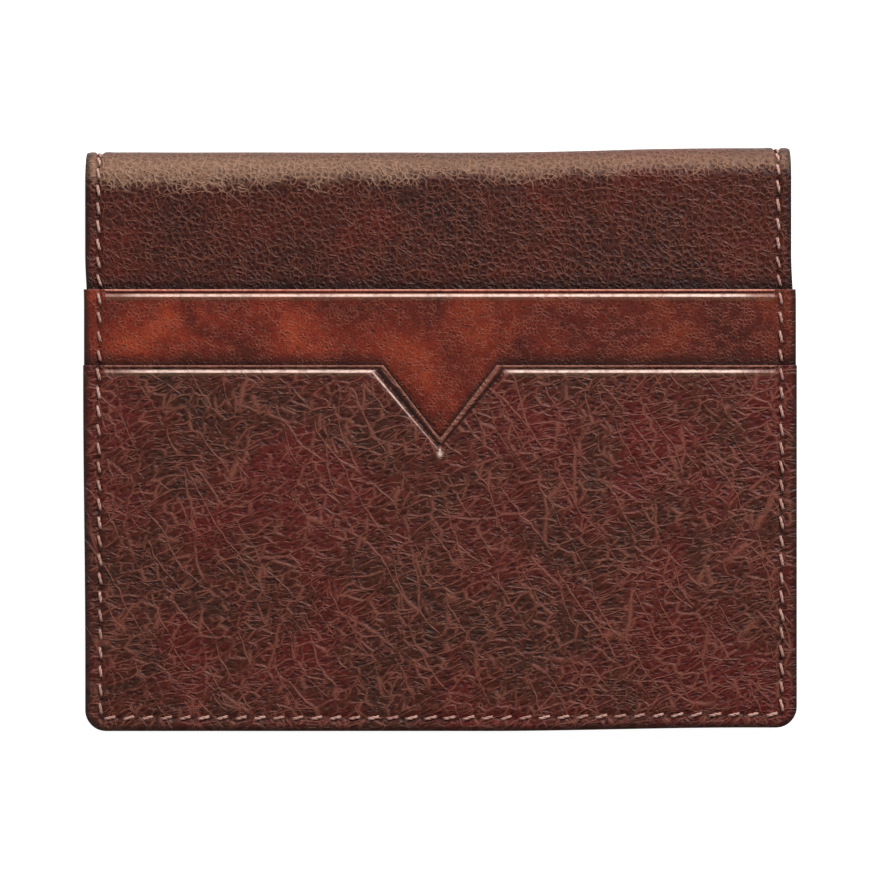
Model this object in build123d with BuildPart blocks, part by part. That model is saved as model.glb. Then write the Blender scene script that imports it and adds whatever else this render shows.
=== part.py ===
from build123d import *
from math import pi
import os

# A slim leather bifold wallet, closed and lying on its back cover.
#
# Frame: +X to the right, +Y towards the folded spine, +Z up out of the front cover.
# The origin is under the middle of the closed wallet, on the face that it rests on.
#
# Each cover is a stack of flat sheets, built up layer by layer along Z. A pocket is a panel
# held off the sheet behind it by its turned hem, which leaves a slot as deep as the hem is
# thick. Two stepped pockets are on the outside of the front cover, the outer one with a
# V-shaped thumb notch. Inside are a note sleeve in each cover, and card slots in the back
# one. All mouths face the spine. The leather of the spine joins the covers. It rolls round
# half a circle while the wallet is closed, and lies flat when the wallet is open.

# ---- driving dimensions, in millimetres ----

width = 102.0              # across the outside pockets
height = 83.2              # from the free edges to the crown of the spine
cover_inset = 0.3          # the covers are this much narrower than the pockets, each side
corner_radius = 3.0        # free corners of every full-width layer

cover_leather = 0.9
interlining = 0.3
lining = 0.2
outer_pocket_leather = 0.8
inner_pocket_leather = 0.5
sleeve_leather = 0.5

card_gap = 0.8             # free depth of a card slot: a card is 0.76 thick
sleeve_gap = 0.4           # free depth of a note sleeve
cover_gap = 0.5            # air between the inner faces of the closed covers

card_height = 54.0
card_slots = 3             # inside the back cover
slot_step = 10.0           # from one inner mouth down to the next
card_show = 10.0           # how far a card stands out of an inner slot
rear_card_show = 8.0       # how far a card stands out of the rear outside pocket

rear_mouth_drop = 20.0     # crown of the spine to the mouth of the rear outside pocket
mouth_step = 10.9          # that mouth down to the mouth of the notched pocket
notch_half_width = 8.0
notch_depth = 10.4

spine_end_clearance = 1.5  # inner panels stop this far short of the spine
lining_inset = 0.3
interlining_inset = 0.3
hem_width = 4.5
hem_split = 0.3            # gap between the foot of a hem and its sides, at the corner

stitch_pitch = 2.7
stitch_length = 1.9
stitch_slant = 12.0        # degrees off the line of the seam
thread_width = 0.5
thread_height = 0.35
seam_inset = 1.9           # edge of the cover to the middle of its seam
groove_width = 1.1
face_groove_depth = 0.25
sunk_groove_depth = 0.5    # deep enough to keep the whole thread below the surface
base_seam_rise = 2.0       # from a row of stitches that closes a slot to its foot's edge

# ---- heights of the layers in the back cover, from the table up ----

back_interlining_z = cover_leather
back_lining_z = back_interlining_z + interlining
back_sleeve_hem_z = back_lining_z + lining
back_sleeve_z = back_sleeve_hem_z + sleeve_gap
first_slot_z = back_sleeve_z + sleeve_leather
slot_rise = card_gap + inner_pocket_leather
back_top_z = first_slot_z + card_slots * slot_rise

# ---- heights of the layers in the front cover ----

front_sleeve_z = back_top_z + cover_gap
front_sleeve_hem_z = front_sleeve_z + sleeve_leather
front_lining_z = front_sleeve_hem_z + sleeve_gap
front_interlining_z = front_lining_z + lining
front_cover_z = front_interlining_z + interlining
rear_hem_z = front_cover_z + cover_leather
rear_pocket_z = rear_hem_z + card_gap
notched_hem_z = rear_pocket_z + outer_pocket_leather
notched_pocket_z = notched_hem_z + card_gap
front_top_z = notched_pocket_z + outer_pocket_leather

# ---- places across the wallet ----

free_y = -height / 2
crown_y = height / 2
spine_radius = rear_hem_z / 2
spine_y = crown_y - spine_radius
inner_end_y = spine_y - spine_end_clearance
rear_mouth_y = crown_y - rear_mouth_drop
notched_mouth_y = rear_mouth_y - mouth_step
inner_mouths_y = [inner_end_y - slot_step * (i + 1) for i in range(card_slots)]
cover_width = width - 2 * cover_inset
seam_x = cover_width / 2 - seam_inset
seam_y = free_y + seam_inset

os.makedirs("parts", exist_ok=True)


def save(piece, label):
    """Labels a finished piece and writes it to the STEP file of that name."""
    piece.part.label = label
    export_step(piece.part, f"parts/{label}.step")


def foot_of(mouth_y, show):
    """How high a pocket's foot is, so that a card standing on it shows above the mouth."""
    return max(hem_width, mouth_y - (card_height - show) - free_y)


def base_seam_y(foot, next_foot):
    """Where a slot is sewn shut: just inside its own foot, and clear of the next hem."""
    return free_y + max(foot, next_foot + 2 * base_seam_rise) - base_seam_rise


def stations(low, high):
    """Middles of the stitches in a row from low to high, evenly spaced near the pitch."""
    count = max(1, round((high - low) / stitch_pitch))
    return [low + (high - low) * (i + 0.5) / count for i in range(count)]


def outline(sheet_width, top_y):
    """Adds a sheet's outline to the open sketch, from the free edge up to top_y."""
    with Locations((0, (free_y + top_y) / 2)):
        shape = Rectangle(sheet_width, top_y - free_y)
    fillet(shape.vertices().group_by(Axis.Y)[0], corner_radius)


def groove(low_y, high_y):
    """Adds a seam's groove to the open sketch: both sides, and the free edge if it starts there."""
    with Locations(*[(side * seam_x, (low_y + high_y) / 2) for side in (-1, 1)]):
        Rectangle(groove_width, high_y - low_y)
    if low_y == seam_y:
        with Locations((0, seam_y)):
            Rectangle(2 * seam_x + groove_width, groove_width)


def panel(sheet_width, top_y, base_z, thickness):
    """A plain flat sheet from the free edge up to top_y."""
    with BuildPart() as sheet:
        with BuildSketch(Plane.XY.offset(base_z)):
            outline(sheet_width, top_y)
        extrude(amount=thickness)
    return sheet


def stitched_panel(sheet_width, top_y, base_z, thickness, seam_low_y):
    """A flat sheet with the seam's groove in its upper face, from seam_low_y upwards."""
    with BuildPart() as sheet:
        with BuildSketch(Plane.XY.offset(base_z)):
            outline(sheet_width, top_y)
        extrude(amount=thickness)
        with BuildSketch(Plane.XY.offset(base_z + thickness)):
            groove(seam_low_y, top_y)
        extrude(amount=-face_groove_depth, mode=Mode.SUBTRACT)
    return sheet


def underside_panel(sheet_width, top_y, base_z, thickness, depth):
    """A flat sheet with the seam's groove in its lower face, all the way round."""
    with BuildPart() as sheet:
        with BuildSketch(Plane.XY.offset(base_z)):
            outline(sheet_width, top_y)
        extrude(amount=thickness)
        with BuildSketch(Plane.XY.offset(base_z)):
            groove(seam_y, top_y)
        extrude(amount=depth, mode=Mode.SUBTRACT)
    return sheet


def hem(sheet_width, top_y, base_z, thickness, foot):
    """The turned margin behind a pocket panel: two sides and a foot, as separate strips."""
    low_y = free_y + foot + hem_split
    side_x = (sheet_width - hem_width) / 2
    with BuildPart() as strips:
        with BuildSketch(Plane.XY.offset(base_z)):
            with Locations(*[(side * side_x, (low_y + top_y) / 2) for side in (-1, 1)]):
                Rectangle(hem_width, top_y - low_y)
            outline(sheet_width, free_y + foot)
        extrude(amount=thickness)
    return strips


def seam(runs):
    """Rows of slanted stitches, each stitch a separate solid.

    A run is (height of the groove's floor, outward direction, low y, high y). It has
    stitches on both sides of the wallet, and along the free edge if it starts there.
    """
    with BuildPart() as thread:
        for floor_z, outward, low_y, high_y in runs:
            sides = [(side * seam_x, y) for side in (-1, 1) for y in stations(low_y, high_y)]
            with BuildSketch(Plane.XY.offset(floor_z)):
                with Locations(*sides):
                    Rectangle(thread_width, stitch_length, rotation=stitch_slant)
                if low_y == seam_y:
                    with Locations(*[(x, seam_y) for x in stations(-seam_x, seam_x)]):
                        Rectangle(stitch_length, thread_width, rotation=stitch_slant)
            extrude(amount=outward * thread_height)
    return thread


def base_seam(sheet_width, y, face_z):
    """The straight row of stitches that closes the foot of a slot behind the next pocket."""
    run = sheet_width / 2 - hem_width
    with BuildPart() as thread:
        with BuildSketch(Plane.XY.offset(face_z)):
            with Locations(*[(x, y) for x in stations(-run, run)]):
                Rectangle(stitch_length, thread_width)
        extrude(amount=thread_height)
    return thread


# ---- back cover: leather, stiffener, lining and note sleeve ----

back_cover = underside_panel(cover_width, spine_y, 0, cover_leather, sunk_groove_depth)
save(back_cover, "back_cover")

stiffener_width = cover_width - 2 * interlining_inset
back_interlining = panel(stiffener_width, inner_end_y, back_interlining_z, interlining)
save(back_interlining, "back_interlining")

lining_width = cover_width - 2 * lining_inset
back_lining = panel(lining_width, spine_y, back_lining_z, lining)
save(back_lining, "back_lining")

back_sleeve_hem = hem(cover_width, inner_end_y, back_sleeve_hem_z, sleeve_gap, hem_width)
save(back_sleeve_hem, "back_sleeve_hem")

back_sleeve = stitched_panel(
    cover_width, inner_end_y, back_sleeve_z, sleeve_leather, inner_mouths_y[0]
)
save(back_sleeve, "back_sleeve_panel")

# ---- back cover: card slots, stepped down from the spine ----

slot_feet = [foot_of(mouth_y, card_show) for mouth_y in inner_mouths_y]
slot_seams_end_y = inner_mouths_y[1:] + [seam_y]
inside_runs = [
    (first_slot_z - face_groove_depth, 1, inner_mouths_y[0], inner_end_y)
]
for i in range(card_slots):
    name = f"card_slot_{i + 1}"
    hem_z = first_slot_z + i * slot_rise
    face_z = hem_z + slot_rise

    slot_hem = hem(cover_width, inner_mouths_y[i], hem_z, card_gap, slot_feet[i])
    save(slot_hem, f"{name}_hem")

    slot_panel = stitched_panel(
        cover_width,
        inner_mouths_y[i],
        hem_z + card_gap,
        inner_pocket_leather,
        slot_seams_end_y[i],
    )
    save(slot_panel, f"{name}_panel")

    inside_runs.append(
        (face_z - face_groove_depth, 1, slot_seams_end_y[i], inner_mouths_y[i])
    )
    if i + 1 < card_slots:
        slot_base_y = base_seam_y(slot_feet[i], slot_feet[i + 1])
        slot_base = base_seam(cover_width, slot_base_y, face_z)
        save(slot_base, f"{name}_base_seam")

back_seam_inside = seam(inside_runs)
save(back_seam_inside, "back_seam_inside")

back_seam_outside = seam([(sunk_groove_depth, -1, seam_y, spine_y)])
save(back_seam_outside, "back_seam_outside")

# ---- front cover, from its inner face out ----

front_sleeve = underside_panel(
    cover_width, inner_end_y, front_sleeve_z, sleeve_leather, face_groove_depth
)
save(front_sleeve, "front_sleeve_panel")

front_sleeve_hem = hem(cover_width, inner_end_y, front_sleeve_hem_z, sleeve_gap, hem_width)
save(front_sleeve_hem, "front_sleeve_hem")

front_lining = panel(lining_width, spine_y, front_lining_z, lining)
save(front_lining, "front_lining")

front_interlining = panel(stiffener_width, inner_end_y, front_interlining_z, interlining)
save(front_interlining, "front_interlining")

front_cover = stitched_panel(cover_width, spine_y, front_cover_z, cover_leather, rear_mouth_y)
save(front_cover, "front_cover")

front_seam_inside = seam([(front_sleeve_z + face_groove_depth, -1, seam_y, inner_end_y)])
save(front_seam_inside, "front_seam_inside")

# ---- the two outside pockets ----

rear_foot = foot_of(rear_mouth_y, rear_card_show)
rear_hem = hem(width, rear_mouth_y, rear_hem_z, card_gap, rear_foot)
save(rear_hem, "outer_rear_pocket_hem")

rear_pocket = stitched_panel(
    width, rear_mouth_y, rear_pocket_z, outer_pocket_leather, notched_mouth_y
)
save(rear_pocket, "outer_rear_pocket")

rear_base = base_seam(width, base_seam_y(rear_foot, hem_width), notched_hem_z)
save(rear_base, "outer_rear_pocket_base_seam")

notched_hem = hem(width, notched_mouth_y, notched_hem_z, card_gap, hem_width)
save(notched_hem, "outer_notched_pocket_hem")

with BuildPart() as notched_pocket:
    with BuildSketch(Plane.XY.offset(notched_pocket_z)):
        outline(width, notched_mouth_y)
        with BuildLine():
            Polyline(
                (-notch_half_width, notched_mouth_y),
                (0, notched_mouth_y - notch_depth),
                (notch_half_width, notched_mouth_y),
                close=True,
            )
        make_face(mode=Mode.SUBTRACT)
    extrude(amount=outer_pocket_leather)
    with BuildSketch(Plane.XY.offset(front_top_z)):
        groove(seam_y, notched_mouth_y)
    extrude(amount=-face_groove_depth, mode=Mode.SUBTRACT)
save(notched_pocket, "outer_notched_pocket")

front_seam_outside = seam(
    [
        (rear_hem_z - face_groove_depth, 1, rear_mouth_y, spine_y),
        (notched_hem_z - face_groove_depth, 1, notched_mouth_y, rear_mouth_y),
        (front_top_z - face_groove_depth, 1, seam_y, notched_mouth_y),
    ]
)
save(front_seam_outside, "front_seam_outside")

# ---- spine: half rings that meet the covers and their linings edge to edge ----

lining_radius = spine_radius - cover_leather - interlining
thread_radius = spine_radius - sunk_groove_depth + thread_height / 2
spine_stitches = 2 * max(1, round(pi * spine_radius / 2 / stitch_pitch))
stitch_turn = 180 / spine_stitches

with BuildPart() as spine_cover:
    with BuildSketch(Plane.YZ):
        with Locations((spine_y, spine_radius)):
            Circle(spine_radius)
            Circle(spine_radius - cover_leather, mode=Mode.SUBTRACT)
        with Locations((spine_y - spine_radius, spine_radius)):
            Rectangle(2 * spine_radius, 2 * spine_radius, mode=Mode.SUBTRACT)
    extrude(amount=cover_width / 2, both=True)
    for side in (-1, 1):
        with BuildSketch(Plane.YZ.offset(side * seam_x)):
            with Locations((spine_y, spine_radius)):
                Circle(spine_radius)
                Circle(spine_radius - sunk_groove_depth, mode=Mode.SUBTRACT)
        extrude(amount=groove_width / 2, both=True, mode=Mode.SUBTRACT)
save(spine_cover, "spine_cover")

with BuildPart() as spine_lining:
    with BuildSketch(Plane.YZ):
        with Locations((spine_y, spine_radius)):
            Circle(lining_radius)
            Circle(lining_radius - lining, mode=Mode.SUBTRACT)
        with Locations((spine_y - spine_radius, spine_radius)):
            Rectangle(2 * spine_radius, 2 * spine_radius, mode=Mode.SUBTRACT)
    extrude(amount=lining_width / 2, both=True)
save(spine_lining, "spine_lining")

with BuildPart() as spine_seam:
    for side in (-1, 1):
        with BuildSketch(Plane.YZ.offset(side * seam_x)):
            with Locations((spine_y, spine_radius)):
                with PolarLocations(
                    thread_radius,
                    spine_stitches,
                    start_angle=-90 + stitch_turn / 2,
                    angular_range=180,
                ):
                    Rectangle(thread_height, stitch_length)
        extrude(amount=thread_width / 2, both=True)
save(spine_seam, "spine_seam")
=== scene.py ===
"""Looks of a slim leather bifold wallet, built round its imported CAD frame.

The frame is the CAD's: +X across, +Y towards the folded spine, +Z up out of the front.
Lengths here are millimetres, and become metres when a piece's mesh is made. Every sheet is
a fine grid laid out flat, x across and s along, that is then placed on its face or rolled
round the spine. h is the height above that face, outwards.
"""

import math

import bpy
import numpy as np
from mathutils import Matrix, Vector


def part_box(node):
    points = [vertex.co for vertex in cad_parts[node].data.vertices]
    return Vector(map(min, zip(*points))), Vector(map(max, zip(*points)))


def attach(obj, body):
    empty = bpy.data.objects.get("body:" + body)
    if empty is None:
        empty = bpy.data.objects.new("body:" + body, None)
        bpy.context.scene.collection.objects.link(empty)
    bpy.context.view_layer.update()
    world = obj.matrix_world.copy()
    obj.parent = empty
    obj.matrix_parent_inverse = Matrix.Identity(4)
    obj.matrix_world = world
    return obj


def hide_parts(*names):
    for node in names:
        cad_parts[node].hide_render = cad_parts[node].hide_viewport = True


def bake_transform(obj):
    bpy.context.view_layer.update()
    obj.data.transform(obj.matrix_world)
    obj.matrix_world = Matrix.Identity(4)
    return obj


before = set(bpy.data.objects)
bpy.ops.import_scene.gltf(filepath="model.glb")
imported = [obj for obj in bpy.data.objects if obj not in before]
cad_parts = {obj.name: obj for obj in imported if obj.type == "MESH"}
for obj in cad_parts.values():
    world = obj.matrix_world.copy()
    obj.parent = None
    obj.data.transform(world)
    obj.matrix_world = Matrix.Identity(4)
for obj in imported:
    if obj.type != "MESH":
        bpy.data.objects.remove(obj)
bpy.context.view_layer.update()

MM = 0.001


def limits(node):
    """Lowest and highest corner of a CAD node, in millimetres."""
    low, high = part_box(node)
    return np.round(np.array(low) / MM, 3), np.round(np.array(high) / MM, 3)


# ---- sizes, read from the frame, or repeated from the part where the frame can't tell ----

free_y = limits("front_cover")[0][1]
spine_y = limits("front_cover")[1][1]
cover_half = limits("front_cover")[1][0]
pocket_half = limits("outer_notched_pocket")[1][0]
spine_radius = limits("spine_cover")[1][2] / 2
rear_mouth = limits("outer_rear_pocket")[1][1]
notched_mouth = limits("outer_notched_pocket")[1][1]
inner_end = limits("back_sleeve_panel")[1][1]
roll_length = math.pi * spine_radius
crown_s = spine_y + roll_length / 2
back_s = spine_y + roll_length

CORNER = 3.0
SEAM_INSET = 1.9
STITCH_PITCH = 2.7
STITCH_LENGTH = 1.9
STITCH_SLANT = math.radians(12)
SPINE_STITCHES = 6          # on each side of the roll
HEM_WIDTH = 4.5
HEM_SPLIT = 0.3
CARD_HEIGHT = 54.0
CARD_SHOW = 10.0            # how far a card stands out of an inner slot,
REAR_CARD_SHOW = 8.0        # and out of the rear outside pocket
NOTCH_HALF_WIDTH = 8.0
NOTCH_DEPTH = 10.4
seam_x = cover_half - SEAM_INSET
seam_y = free_y + SEAM_INSET

# ---- how the leather is worked ----

CREASE_AT = 0.62            # middle of the creased line, in from the mouth's edge
CREASE_WIDTH = 0.34
CREASE_DEPTH = 0.17
CREASE_FADE = (41.5, 46.5)  # its painted highlight fades between these, out from the middle
EVEN_TO = 0.2               # up to here lines inside the notch keep an even distance from its edge,
NOTCH_SPREAD = 1.73         # and from here on they leave it faster than they leave the mouth
NOTCH_DEEPEN = 0.6
NOTCH_TIP = 0.08            # how rounded the notch's tip is, and the corners at its top
NOTCH_CORNER = 0.2
BEAD_BELOW = 12.75          # the bead that ends the crease under the notch's tip
BEAD_RADIUS = 0.34
BEAD_HEIGHT = 0.13
CREASE_ZONE = 2.4           # depth of the closely spaced rows along a mouth
GROOVE_WIDTH = 0.7
GROOVE_DEPTH = 0.14
SUNK = 0.3                  # how much deeper the seam lies where the wallet rests on it
SWELL = 0.05                # leather pushed up beside a groove or a crease
RIM_DROP = 0.16             # raw edges are pressed thinner by this, within about RIM_REACH
RIM_REACH = 0.4
HOLE_RADIUS = 0.26
HOLE_DEPTH = 0.24
THREAD_RADIUS = 0.21
THREAD_RISE = 0.05          # middle of a stitch above the leather,
THREAD_DIVE = 0.42          # and how much lower its ends are
REACH = 5                   # a seam's groove runs on by this, under the next panel
EDGE = 0.2                  # rounding of a leather edge,
HEM_EDGE = 0.12             # of a turned hem's,
CUT_EDGE = 0.06             # of cloth and board,
ROLL_EDGE = 0.05            # and of the cloth inside the roll
SHARP_ANGLE = math.radians(52)
BASE_RISE = 0.06            # the hidden stitches' face, above the lowest point of their node
FAR = 50.0                  # stands for "no such edge near here"

FINE, MEDIUM, COARSE = 0.16, 0.22, 0.45
SEAM_ZONE = 4.2             # depth of the closely spaced rows and columns along a seam
SLIVER = 0.02               # first and last row of a sheet that meets its neighbour there

RIGHT_LIFT_TOP = 0.62       # the right-hand side sits a little higher than the left,
RIGHT_LIFT_FOOT = 0.5       # at the top and at the foot
LIFT_ACROSS = (6, 44)       # that comes in from the first to the second of these x,
LIFT_TOP = (24, 37)         # and at the top from the first to the second of these y
LIFT_FOOT = 22              # at the foot it has gone this far up
TOP_SHIFT = 0.26            # the fold sits a little to the left of the pockets
FOOT_PINCH = 0.3            # the lower left corner is drawn in,
PINCH_ACROSS = (20, 50)     # from the first to the second of these distances to the left,
PINCH_FOOT = (10, 8)        # and fully up to 10 above the free edge, but not from y = 8 on


def smooth(value, low, high):
    """0 below low, 1 above high, and an S-curve in between."""
    t = np.clip((value - low) / (high - low), 0, 1)
    return t * t * (3 - 2 * t)


def settle(points):
    """Shifts points the little that a used wallet is out of square."""
    x, y = points[:, 0], points[:, 1]
    lift = RIGHT_LIFT_TOP * smooth(y, *LIFT_TOP)
    lift += RIGHT_LIFT_FOOT * (1 - smooth(y, free_y, free_y + LIFT_FOOT))
    full, gone = PINCH_FOOT
    pinch = FOOT_PINCH * smooth(-x, *PINCH_ACROSS) * (1 - smooth(y, free_y + full, gone))
    to_right = smooth(x, *LIFT_ACROSS)
    points[:, 0] += pinch - TOP_SHIFT * smooth(y, rear_mouth - 2, rear_mouth + 5)
    points[:, 1] += to_right * lift
    return points


def to_back(cut_s):
    """0 on the front, and 1 from the crown of the spine on, round to the back."""
    return smooth(cut_s, spine_y + 0.5, crown_s - 1.5)


def ripple(x, s, seed):
    """Slow waves of a sheet that has been carried about, up to about a tenth of a millimetre."""
    draw = np.random.default_rng(seed)
    height = np.zeros_like(x)
    for _ in range(7):
        angle, phase = draw.uniform(0, 2 * math.pi, 2)
        length = draw.uniform(8, 34)
        along = (x * math.cos(angle) + s * math.sin(angle)) * 2 * math.pi / length
        height += 0.0011 * length * np.sin(along + phase)
    return height * (1 - 0.7 * to_back(s)) - 0.04 * to_back(s)


# ---- meshes ----


class Shape:
    """Points, faces and surface values of one piece, gathered block by block."""

    def __init__(self):
        self.points = []
        self.faces = []
        self.values = {}
        self.count = 0

    def add(self, points, faces, values):
        self.points.append(points)
        self.faces.extend([[i + self.count for i in face] for face in faces])
        for name, data in values.items():
            self.values.setdefault(name, []).append(data)
        self.count += len(points)

    def build(self, name, material):
        """Makes the mesh object, in metres."""
        points = settle(np.concatenate(self.points)) * MM
        mesh = bpy.data.meshes.new(name)
        mesh.from_pydata(points.tolist(), [], self.faces)
        mesh.polygons.foreach_set("use_smooth", [True] * len(mesh.polygons))
        mesh.set_sharp_from_angle(angle=SHARP_ANGLE)
        for value_name, blocks in self.values.items():
            data = np.concatenate(blocks).astype(np.float32)
            kind = "FLOAT_VECTOR" if data.ndim == 2 else "FLOAT"
            field = "vector" if data.ndim == 2 else "value"
            attribute = mesh.attributes.new(value_name, kind, "POINT")
            attribute.data.foreach_set(field, data.ravel())
        mesh.materials.append(material)
        mesh.validate()
        piece = bpy.data.objects.new(name, mesh)
        bpy.context.scene.collection.objects.link(piece)
        return piece


def spaced(start, *stretches):
    """Values from start on: each stretch is (its end, the step to divide it by)."""
    values = [start]
    for end, step in stretches:
        count = max(1, round(abs(end - values[-1]) / step))
        values.extend(np.linspace(values[-1], end, count + 1)[1:])
    return np.array(values)


def on_face(face_z, facing):
    """Places a sheet on a level face: facing is 1 if the sheet is seen from above, or -1."""

    def place(x, s, h):
        return np.stack([x, s, face_z + facing * h], -1)

    return place


def on_roll(radius, facing):
    """Places a sheet round the spine: facing is 1 on the outside of the roll, or -1 inside."""

    def place(x, s, h):
        turn = (s - spine_y) / spine_radius
        reach = radius + facing * h
        across = spine_y + reach * np.sin(turn)
        return np.stack([x, across, spine_radius + reach * np.cos(turn)], -1)

    return place


def mouth_drop(x, q, notched):
    """How far below the mouth's level the line runs that is q inside the mouth's edge."""
    if not notched:
        return np.zeros_like(x) + q
    slope = math.atan(NOTCH_DEPTH / NOTCH_HALF_WIDTH)
    leaving = max(q - EVEN_TO, 0)
    depth = NOTCH_DEPTH + q / math.cos(slope) + NOTCH_DEEPEN * leaving
    half = NOTCH_HALF_WIDTH + q * (1 / math.sin(slope) - 1 / math.tan(slope)) + NOTCH_SPREAD * leaving
    away = np.sqrt(x * x + NOTCH_TIP ** 2) - NOTCH_TIP
    limb = depth - (depth - q) * away / half
    apart = q - limb
    lower = 0.5 * (q + limb + np.sqrt(apart ** 2 + NOTCH_CORNER ** 2))
    return lower - 0.5 * NOTCH_CORNER * np.exp(-(apart / NOTCH_CORNER) ** 2)


def rim_distance(x, s, half, low, corner):
    """Distance in from the raw edges: both sides, and the free edge with its round corners."""
    from_side = half - np.abs(x)
    from_low = s - low
    in_corner = (from_side < corner) & (from_low < corner)
    round_off = corner - np.hypot(corner - from_side, corner - from_low)
    return np.where(in_corner, round_off, np.minimum(from_side, from_low))


class Seam:
    """One face's stitching: the lines it runs on, its holes, and its stitches."""

    def __init__(self):
        self.lines = []
        self.holes = []
        self.stitches = []

    def sides(self, low, high, reach_low=0.0, reach_high=0.0, pitch=STITCH_PITCH):
        """Stitches both sides from low to high; the groove runs on by the two reaches."""
        count = max(1, round((high - low) / pitch))
        step = (high - low) / count
        for side in (-1, 1):
            at = side * seam_x
            self.lines.append(((at, low - reach_low), (at, high + reach_high)))
            self.holes += [(at, low + step * i) for i in range(count + 1)]
            self.stitches += [
                (at, low + step * (i + 0.5), math.pi / 2 + STITCH_SLANT) for i in range(count)
            ]
        return self

    def foot(self):
        """Stitches along the free edge."""
        count = round(2 * seam_x / STITCH_PITCH)
        step = 2 * seam_x / count
        self.lines.append(((-seam_x, seam_y), (seam_x, seam_y)))
        self.holes += [(-seam_x + step * i, seam_y) for i in range(count + 1)]
        slant = 1.2 * STITCH_SLANT
        self.stitches += [(-seam_x + step * (i + 0.5), seam_y, slant) for i in range(count)]
        return self

    def distance(self, x, s):
        """Distance from the nearest line of stitching."""
        nearest = np.full(x.shape, FAR)
        for (x0, s0), (x1, s1) in self.lines:
            run = (x1 - x0) ** 2 + (s1 - s0) ** 2
            t = np.clip(((x - x0) * (x1 - x0) + (s - s0) * (s1 - s0)) / run, 0, 1)
            gap = np.hypot(x - x0 - t * (x1 - x0), s - s0 - t * (s1 - s0))
            nearest = np.minimum(nearest, gap)
        return nearest

    def hole(self, x, s):
        """1 in the middle of a stitch hole, falling to 0 around it."""
        depth = np.zeros(x.shape)
        near = self.distance(x, s) < 2
        for hole_x, hole_s in self.holes:
            gap = (x[near] - hole_x) ** 2 + (s[near] - hole_s) ** 2
            depth[near] = np.maximum(depth[near], np.exp(-gap / HOLE_RADIUS ** 2))
        return depth


NO_SEAM = Seam()


def relief(x, cut_s, q, rim, seam_gap, hole, seed, crease):
    """Height of a sheet's worked face."""
    height = ripple(x, cut_s, seed)
    depth = GROOVE_DEPTH + SUNK * to_back(cut_s)
    height -= depth * (1 - smooth(seam_gap, 0.12, GROOVE_WIDTH))
    height -= HOLE_DEPTH * hole
    height += SWELL * np.exp(-((seam_gap - 1.25) / 0.45) ** 2)
    height -= RIM_DROP * np.exp(-np.maximum(rim, 0) / RIM_REACH)
    pressed = np.exp(-(np.abs(q - CREASE_AT) / CREASE_WIDTH) ** 3)
    height -= crease * CREASE_DEPTH * pressed * smooth(seam_x - 0.4 - np.abs(x), 0, 0.5)
    height += crease * SWELL * np.exp(-((q - 1.35) / 0.35) ** 2)
    return height


def notch_side(x, q, side):
    """1 on one slanting side of the notch, falling to 0 beyond its ends."""
    half = NOTCH_HALF_WIDTH + (0.5 + NOTCH_SPREAD) * np.clip(q, 0, CREASE_ZONE)
    return smooth(side * x, 0, 0.15) * (1 - smooth(side * x, half - 0.5, half - 0.1))


def crease_highlight_strength(x, q, notched):
    """How strong the painted highlight on a creased line is: less at its ends, and towards the notch's
    tip.
    """
    highlight_strength = 1 - 0.75 * smooth(np.abs(x), *CREASE_FADE)
    if notched:
        highlight_strength -= 0.55 * notch_side(x, q, -1) * (1 - smooth(-x, 1, 7))
    return highlight_strength


def bead(x, s, mouth):
    """1 at the bead below the notch's tip, falling to 0 around it."""
    return np.exp(-(x ** 2 + (s - mouth + BEAD_BELOW) ** 2) / BEAD_RADIUS ** 2)


def miters(loop):
    """Outward directions along a closed counter-clockwise loop, long enough to keep its corners."""
    ahead = np.roll(loop, -1, 0) - loop
    ahead /= np.linalg.norm(ahead, axis=1)[:, None]
    normal = np.stack([ahead[:, 1], -ahead[:, 0]], 1)
    both = normal + np.roll(normal, 1, 0)
    both /= np.linalg.norm(both, axis=1)[:, None]
    return both / np.maximum((both * normal).sum(1), 0.6)[:, None]


def back_strips(ring, across, along):
    """Closes the back of a rolled sheet with a strip for each row, so that it follows the roll."""
    right = [across + row for row in range(along + 1)]
    left = [(2 * (across + along) - row) % len(ring) for row in range(along + 1)]
    strips = [list(range(across + 1)) + [right[1], left[1]]]
    for row in range(1, along - 1):
        strips.append([left[row], right[row], right[row + 1], left[row + 1]])
    top = list(range(right[along], left[along] + 1))
    strips.append([left[along - 1], right[along - 1]] + top)
    return [ring[strip][::-1].tolist() for strip in strips]


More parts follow.
